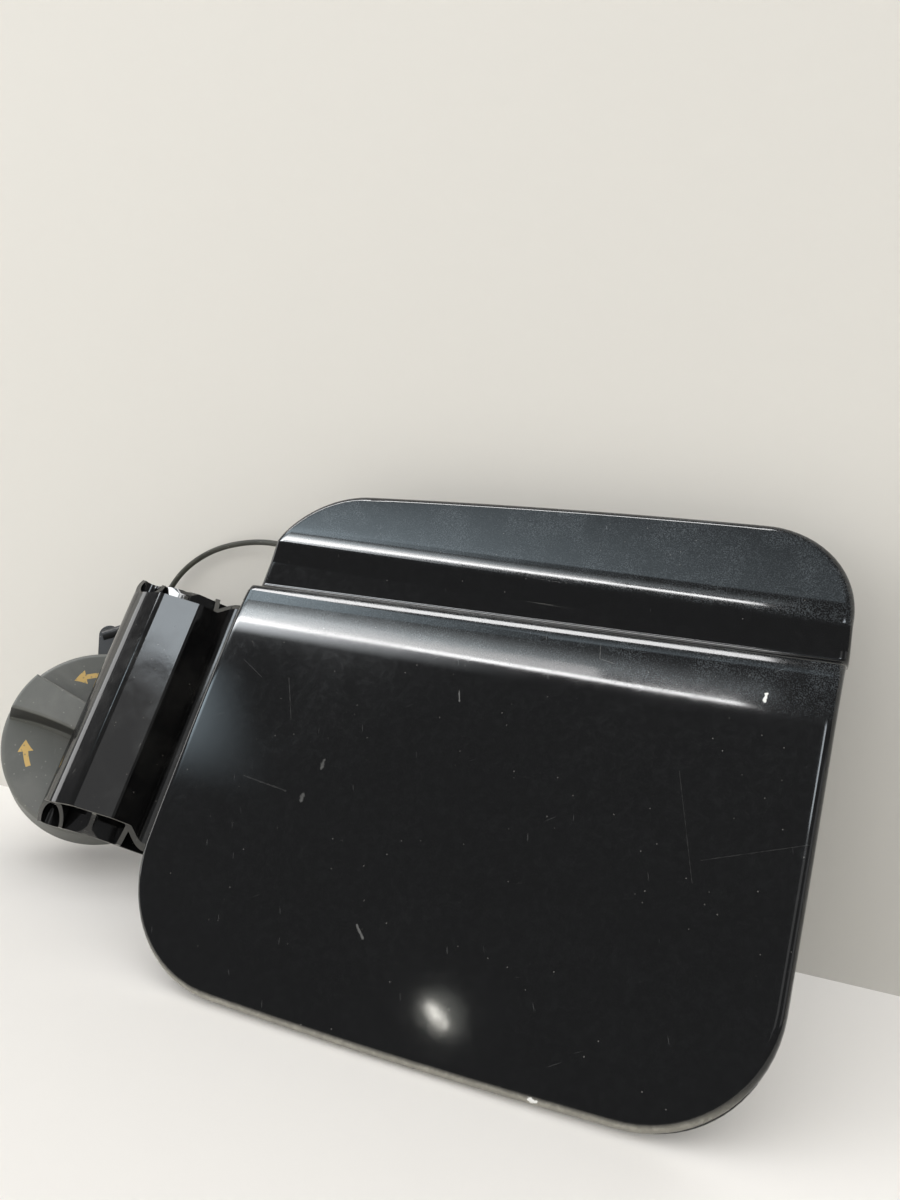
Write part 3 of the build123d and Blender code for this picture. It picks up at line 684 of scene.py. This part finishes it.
def pressed_section(x):
    """Depth and height of the pressed front along the door's height at x, above the flat lower face."""
    bend, low, high = between(BEND, x), between(GROOVE_LOW, x), between(GROOVE_HIGH, x)
    rise = tan(radians(STRIP_LEAN))

    def strip(height):
        return ((height - bend) * rise, height)

    def soft_lip(height, way, turn, radius):
        """Where the strip starts to turn, and the lip itself."""
        reach = radius * tan(radians(turn / 2)) + LIP_GAP
        start = strip(height - way * reach)
        return start, (start[0] + way * reach * tan(radians(STRIP_LEAN + way * turn)), height)

    floor = strip((low + high) / 2)[0] + GROOVE_DEPTH
    floor_low = (floor + FLOOR_TIP, low + GROOVE_WALLS[0])
    floor_high = (floor - FLOOR_TIP, high - GROOVE_WALLS[1])
    start_low, lip_low = soft_lip(low, 1, *LOW_LIP)
    start_high, lip_high = soft_lip(high, -1, *HIGH_LIP)
    on_strip = strip(bend + BEND_SOFT)
    on_face = (0, on_strip[1] - on_strip[0] / tan(radians(BEND_TURN)))
    points = round_corner((0, bend - ALONG), on_face, on_strip, BEND_R, 8)
    points += round_corner(on_face, on_strip, strip(bend + ALONG), BEND_SOFT_R, 6)[1:]
    points += round_corner(strip(low - ALONG), start_low, lip_low, LOW_LIP[1], 6)
    points += round_corner(start_low, lip_low, floor_low, LIP_R, 8)
    points += round_corner(lip_low, floor_low, floor_high, ROOT_R, 7)
    points += round_corner(floor_low, floor_high, lip_high, ROOT_R, 7)
    points += round_corner(floor_high, lip_high, start_high, LIP_R, 8)
    points += round_corner(lip_high, start_high, strip(high + ALONG), HIGH_LIP[1], 6)
    return points


def lower_heights(inset):
    """Heights of the rows on the lower face, close together round the bottom corners."""
    radius = (CORNERS["left"][0] + CORNERS["right"][0]) / 2 - inset
    corner = [BOTTOM + inset + radius * (1 - cos(radians(a))) for a in range(0, 91, 5)]
    return corner + [corner[-1] + row * ROW_GAP for row in range(1, FACE_ROWS + 1)]


def upper_shares():
    """Shares of the way up the top strip, close together at the top corners."""
    return [sin(radians(a)) for a in range(6, 91, 6)]


def panel_rows(inset):
    """Rows of the door skin from bottom to top, each a list of points from left to right."""
    top = TOP - inset
    rows = [[(0.0, z), (0.0, z)] for z in lower_heights(inset)]
    rows += [[tuple(a), tuple(b)] for a, b in zip(pressed_section(-EDGE_X), pressed_section(EDGE_X))]
    last = rows[-1]
    rise = tan(radians(STRIP_LEAN))
    for share in upper_shares():
        pair = []
        for depth, height in last:
            pair.append((depth + (top - height) * share * rise, height + (top - height) * share))
        rows.append(pair)
    return [panel_row(left, right, inset) for left, right in rows]


def panel_row(left, right, inset):
    """One row of points, from its depth and height at the two edge lines."""
    def at(x):
        share = (x + EDGE_X) / (2 * EDGE_X)
        return [a + (b - a) * share for a, b in zip(left, right)]

    ends = []
    for side, sign in (("left", -1), ("right", 1)):
        x = sign * EDGE_X
        for _ in range(8):
            x = sign * side_x(side, held(at(x)[1], inset), inset)
        ends.append(x)
    points = []
    for i in range(COLUMNS + 1):
        share = i / COLUMNS
        share = share - EDGE_CROWD * sin(2 * pi * share) / (2 * pi)
        x = ends[0] + (ends[1] - ends[0]) * share
        depth, height = at(x)
        limit = TOP - inset if height > 0 else BOTTOM + inset
        edge = max(0.0, height / limit - 1 + END_SHARE) / END_SHARE
        bow = END_BOW * edge * (1 - (2 * share - 1) ** 2)
        points.append((x, depth, height + (bow if height > 0 else -bow)))
    return points


def door_skin():
    """Pressed skin: a grid laid on the rows, its border rolled into a hem, given its thickness."""
    rows = panel_rows(ROLL)
    deselect()
    bpy.ops.mesh.primitive_grid_add(x_subdivisions=COLUMNS, y_subdivisions=len(rows) - 1, size=1)
    skin = bpy.context.object
    skin.name = "door_skin"
    mesh = skin.data
    out = mesh.attributes.new("rim_out", "FLOAT_VECTOR", "POINT")
    front = mesh.attributes.new("rim_front", "FLOAT_VECTOR", "POINT")
    for vertex in mesh.vertices:
        column = round((vertex.co.x + 0.5) * COLUMNS)
        row = round((vertex.co.y + 0.5) * (len(rows) - 1))
        point = rows[row][column]
        vertex.co = (Vector(point) + DOOR_AT) * MM
        direction = (0.0, 0.0)
        if row in (0, len(rows) - 1):
            direction = (0.0, 1.0 if row else -1.0)
        elif column in (0, COLUMNS):
            direction = side_out("right" if column else "left", point[2], ROLL)
        out.data[vertex.index].vector = (direction[0], 0, direction[1])
        front.data[vertex.index].vector = vertex.co
    roll_border(skin)
    apply_modifier(skin, "SOLIDIFY", thickness=SKIN * MM, offset=-1.0, use_even_offset=False)
    return skin


def border_steps():
    """Outward and backward moves, from the skin's border round the roll and along the hem."""
    steps = [(ROLL * sin(radians(a)), ROLL * (1 - cos(radians(a)))) for a in range(15, 91, 15)]
    inward, back = ROLL - HEM_R, HEM_DEPTH - HEM_R
    steps += [(inward + HEM_R * cos(radians(a)), back + HEM_R * sin(radians(a))) for a in range(0, 91, 30)]
    steps += [(ROLL - HEM_WIDTH / 2, HEM_DEPTH), (ROLL - HEM_WIDTH, HEM_DEPTH)]
    return steps


def roll_border(skin):
    """Extrude the skin's border step by step round the rolled edge."""
    make_active(skin)
    bpy.ops.object.mode_set(mode="EDIT")
    bpy.ops.mesh.select_mode(type="EDGE")
    bpy.ops.mesh.select_all(action="DESELECT")
    bpy.ops.mesh.select_non_manifold()
    for outward, backward in border_steps():
        bpy.ops.mesh.extrude_region_move()
        bpy.ops.object.mode_set(mode="OBJECT")
        mesh = skin.data
        out, front = mesh.attributes["rim_out"], mesh.attributes["rim_front"]
        for vertex in mesh.vertices:
            if vertex.select:
                way = Vector(out.data[vertex.index].vector)
                start = Vector(front.data[vertex.index].vector)
                vertex.co = start + (way * outward + Vector((0, backward, 0))) * MM
        bpy.ops.object.mode_set(mode="EDIT")
    bpy.ops.mesh.select_all(action="SELECT")
    bpy.ops.mesh.normals_make_consistent(inside=False)
    bpy.ops.object.mode_set(mode="OBJECT")


# Pieces carried over from the solids, with their edges softened

def softened(name, width, segments=2, angle=40.0):
    """Copy of a solid with its facets merged and its sharp edges given a small radius."""
    piece = bpy.data.objects.new(name + "_piece", frame["nodes"][name].data.copy())
    bpy.context.collection.objects.link(piece)
    make_active(piece)
    bpy.ops.object.mode_set(mode="EDIT")
    bpy.ops.mesh.select_all(action="SELECT")
    bpy.ops.mesh.remove_doubles(threshold=0.000004)
    bpy.ops.mesh.dissolve_limited(angle_limit=radians(0.4))
    bpy.ops.object.mode_set(mode="OBJECT")
    if width:
        apply_modifier(piece, "BEVEL", width=width * MM, segments=segments, limit_method="ANGLE",
                       angle_limit=radians(angle), use_clamp_overlap=True)
    smooth(piece)
    return piece


def tether_cord():
    """Tether as one smooth round cord along its route."""
    curve = bpy.data.curves.new("tether_cord", "CURVE")
    curve.dimensions = "3D"
    spline = curve.splines.new("NURBS")
    spline.points.add(len(TETHER_ROUTE) - 1)
    for point, spot in zip(spline.points, TETHER_ROUTE):
        point.co = (*(Vector(spot) * MM), 1.0)
    spline.order_u = 3
    spline.use_endpoint_u = True
    spline.resolution_u = 12
    curve.bevel_depth = TETHER_R * MM
    curve.bevel_resolution = 5
    curve.use_fill_caps = True
    cord = bpy.data.objects.new("tether_cord", curve)
    bpy.context.collection.objects.link(cord)
    return cord


def cap_face():
    """Direction that the cap's face looks in."""
    turn, tip = radians(CAP_TURN), radians(CAP_TIP)
    return Vector((sin(turn) * cos(tip), -cos(turn) * cos(tip), sin(tip)))


def cap_turn():
    """Turn of the cap's frame: grip along its first axis, face along its third."""
    turn, face = radians(CAP_TURN), cap_face()
    grip = Matrix.Rotation(radians(GRIP_SLOPE), 3, face) @ Vector((cos(turn), sin(turn), 0))
    return Matrix((grip, face.cross(grip), face)).transposed().to_euler()


def press_spring(spring, joint, seat, length, give):
    """Give a valve spring a mesh of its own."""
    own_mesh(spring)


# Camera, stage and light

def add_camera():
    bpy.ops.object.camera_add(location=CAMERA_AT, rotation=[radians(a) for a in CAMERA_TURN])
    camera = bpy.context.object
    camera.data.lens = LENS
    camera.data.sensor_width = SENSOR
    camera.data.clip_start = 0.01
    bpy.context.scene.camera = camera


def stage_material(name, colour):
    """Plain matt surface that is clear from behind."""
    material, tree, surface, _ = new_finish(name, Base_Color=(*colour, 1), Roughness=0.9)
    geometry = put(tree, "NewGeometry")
    clear = put(tree, "BsdfTransparent")
    mix = put(tree, "MixShader", {
        0: geometry.outputs["Backfacing"], 1: surface.outputs[0], 2: clear.outputs[0]})
    feed(tree, tree.nodes["Material Output"].inputs[0], mix.outputs[0])
    return material


def stage_plane(name, at, turn, colour, shadow=True):
    """Wide plain plane, clear from behind; without a shadow it also lets the lamps behind it through."""
    deselect()
    bpy.ops.mesh.primitive_plane_add(size=STAGE_SIZE, location=at, rotation=(radians(turn), 0, 0))
    plane = bpy.context.object
    plane.name = name
    plane.data.materials.append(stage_material(name, colour))
    plane.visible_shadow = shadow


def room(x, out, up):
    """Place on the stage: along the backdrop, out from it and up from the floor."""
    return Vector((x, FLOOR_AT.y, FLOOR_AT.z)) + OUT * out + UP * up


def ceiling_lamp(name, across, depth, radiance, colour=WHITE, fade=None, height=CEILING, **kind):
    """Lamp panel in the ceiling that shines straight down, between two places across and two outwards."""
    width, length = across[1] - across[0], depth[1] - depth[0]
    at = room(sum(across) / 2, sum(depth) / 2, height)
    aim = Matrix((Vector((1, 0, 0)), -OUT, UP)).transposed().to_euler()
    lamp = area_lamp(name, at, aim, (width, length), radiance, colour, **kind)
    if fade:
        fade_lamp(lamp, *fade)


def area_lamp(name, at, turn, size, radiance, colour=WHITE, shape="RECTANGLE", soft=False):
    """Lamp of one radiance: a soft one lights matt surfaces, any other shows as a reflection."""
    deselect()
    bpy.ops.object.light_add(type="AREA", location=at, rotation=turn)
    lamp = bpy.context.object
    lamp.name = name
    lamp.data.shape = shape
    lamp.data.size, lamp.data.size_y = size
    lamp.data.energy = radiance * pi * size[0] * size[1]
    lamp.data.color = colour
    lamp.visible_diffuse = soft
    lamp.visible_glossy = not soft
    return lamp


def fade_lamp(lamp, left, right, near=1.0, far=1.0):
    """Lamp that dims from one strength at its left end to another at its right, and also outwards."""
    lamp.data.use_nodes = True
    tree = lamp.data.node_tree
    across, depth, _ = put(tree, "SeparateXYZ", {0: put(tree, "NewGeometry").outputs["Parametric"]}).outputs
    sideways = ramp(tree, across, 0.0, 1.0, left, right)
    outwards = ramp(tree, depth, 0.0, 1.0, far, near)
    feed(tree, tree.nodes["Emission"].inputs["Strength"], sums(tree, "MULTIPLY", sideways, outwards))


def facing(at, target, roll=0.0):
    """Turn of a lamp at one place that looks at another."""
    aim = (target - at).to_track_quat("-Z", "Y").to_matrix()
    return (aim @ Matrix.Rotation(radians(roll), 3, "Z")).to_euler()


def light_room():
    """Even light from all sides."""
    world = bpy.data.worlds.new("room")
    bpy.context.scene.world = world
    world.use_nodes = True
    back = world.node_tree.nodes["Background"]
    back.inputs["Color"].default_value = (0.97, 0.98, 1.0, 1)
    back.inputs["Strength"].default_value = 0.22


def light_arm():
    """Lamps that show on the barrel of the arm: a long slanted one and an upright one at the left."""
    along = Vector((-0.81, 0, 0)) + OUT * 0.59
    slant = Matrix((along, UP.cross(along), UP)).transposed().to_euler()
    streak = area_lamp("arm_streak", room(-2.55, 0.80, CEILING), slant, (1.10, 0.04), 2.6)
    fade_lamp(streak, 1.0, 0.15)
    at = room(-1.3, 0.12, 0.45)
    area_lamp("left_window", at, facing(at, room(0.0, 0.12, 0.45)), (0.34, 0.70), 3.0)


def light_face():
    """Small bright lamp that shows low on the door's face, with a dim glow behind it."""
    aim = facing(SPOT_AT, SPOT_SEEN, SPOT_ROLL)
    behind = SPOT_AT + Vector((-0.01, -0.05, 0.01))
    area_lamp("spot", SPOT_AT, aim, (0.046, 0.014), 26.0, (1.0, 0.98, 0.9), "ELLIPSE")
    area_lamp("spot_glow", behind, aim, (0.08, 0.06), 0.8, (0.95, 1.0, 0.9), "ELLIPSE")


def light_scene():
    light_room()
    ceiling_lamp("soft_top", (-1.7, 1.9), (-0.1, 2.3), 1.05, height=1.6, soft=True)
    for name, (spot, size, radiance, colour, soft) in STANDING_LAMPS.items():
        at = room(*spot)
        area_lamp(name, at, facing(at, MIDDLE), size, radiance, colour, soft=soft)
    for name, values in CEILING_LAMPS.items():
        ceiling_lamp(name, *values)
    light_arm()
    light_face()
    bpy.context.scene.view_settings.view_transform = "Standard"


add_camera()
stage_plane("floor", FLOOR_AT, LEAN, (0.86, 0.84, 0.81))
stage_plane("wall", WALL_AT, LEAN + 90, (0.62, 0.605, 0.565), shadow=False)
light_scene()

FINISHES = {
    "door_paint": door_paint(),
    "inner_paint": inner_paint(),
    "arm_plastic": arm_plastic(),
    "cap_plastic": cap_plastic(CAP_AT * MM, cap_turn()),
    "black_plastic": dull_plastic(
        "black_plastic", (0.010, 0.010, 0.0105, 1), (0.030, 0.029, 0.027, 1), rough=0.36, fine=1500.0),
    "tether_plastic": dull_plastic(
        "tether_plastic", (0.018, 0.019, 0.013, 1), (0.046, 0.046, 0.034, 1), rough=0.42, fine=1700.0),
    "white_plastic": dull_plastic(
        "white_plastic", (0.66, 0.64, 0.57, 1), (0.74, 0.72, 0.66, 1), rough=0.38, fine=1300.0),
    "black_rubber": rubber(),
    "zinc_steel": plated_metal("zinc_steel", (0.62, 0.62, 0.59, 1), (0.42, 0.40, 0.35, 1), 0.26),
    "brass": plated_metal("brass", (0.72, 0.52, 0.22, 1), (0.46, 0.32, 0.14, 1), 0.24),
    "spring_steel": plated_metal("spring_steel", (0.48, 0.48, 0.47, 1), (0.30, 0.29, 0.27, 1), 0.22),
}
EDGE_WIDTHS = {"hinge_arm": 0.3, "cap_cover": 0.4, "inner_panel": 0.0}
EDGE_WIDTH = 0.15

slot_of = {row["node"]: row["material_slot"] for row in frame["record"]["subparts"]}
body_of = {node: body for body, nodes in frame["record"]["behaviour"]["bodies"].items() for node in nodes}
for name in frame["nodes"]:
    if name not in ("outer_panel", "tether"):
        piece = softened(name, EDGE_WIDTHS.get(name, EDGE_WIDTH))
        finish_piece(piece, body_of[name], slot_of[name], FINISHES[slot_of[name]], name)
        if name in SPRINGS:
            press_spring(piece, *SPRINGS[name])

skin = door_skin()
smooth(skin, 40)
finish_piece(skin, "door", "door_paint", FINISHES["door_paint"], "outer_panel")

cord = tether_cord()
finish_piece(cord, "door", "tether_plastic", FINISHES["tether_plastic"], "tether")
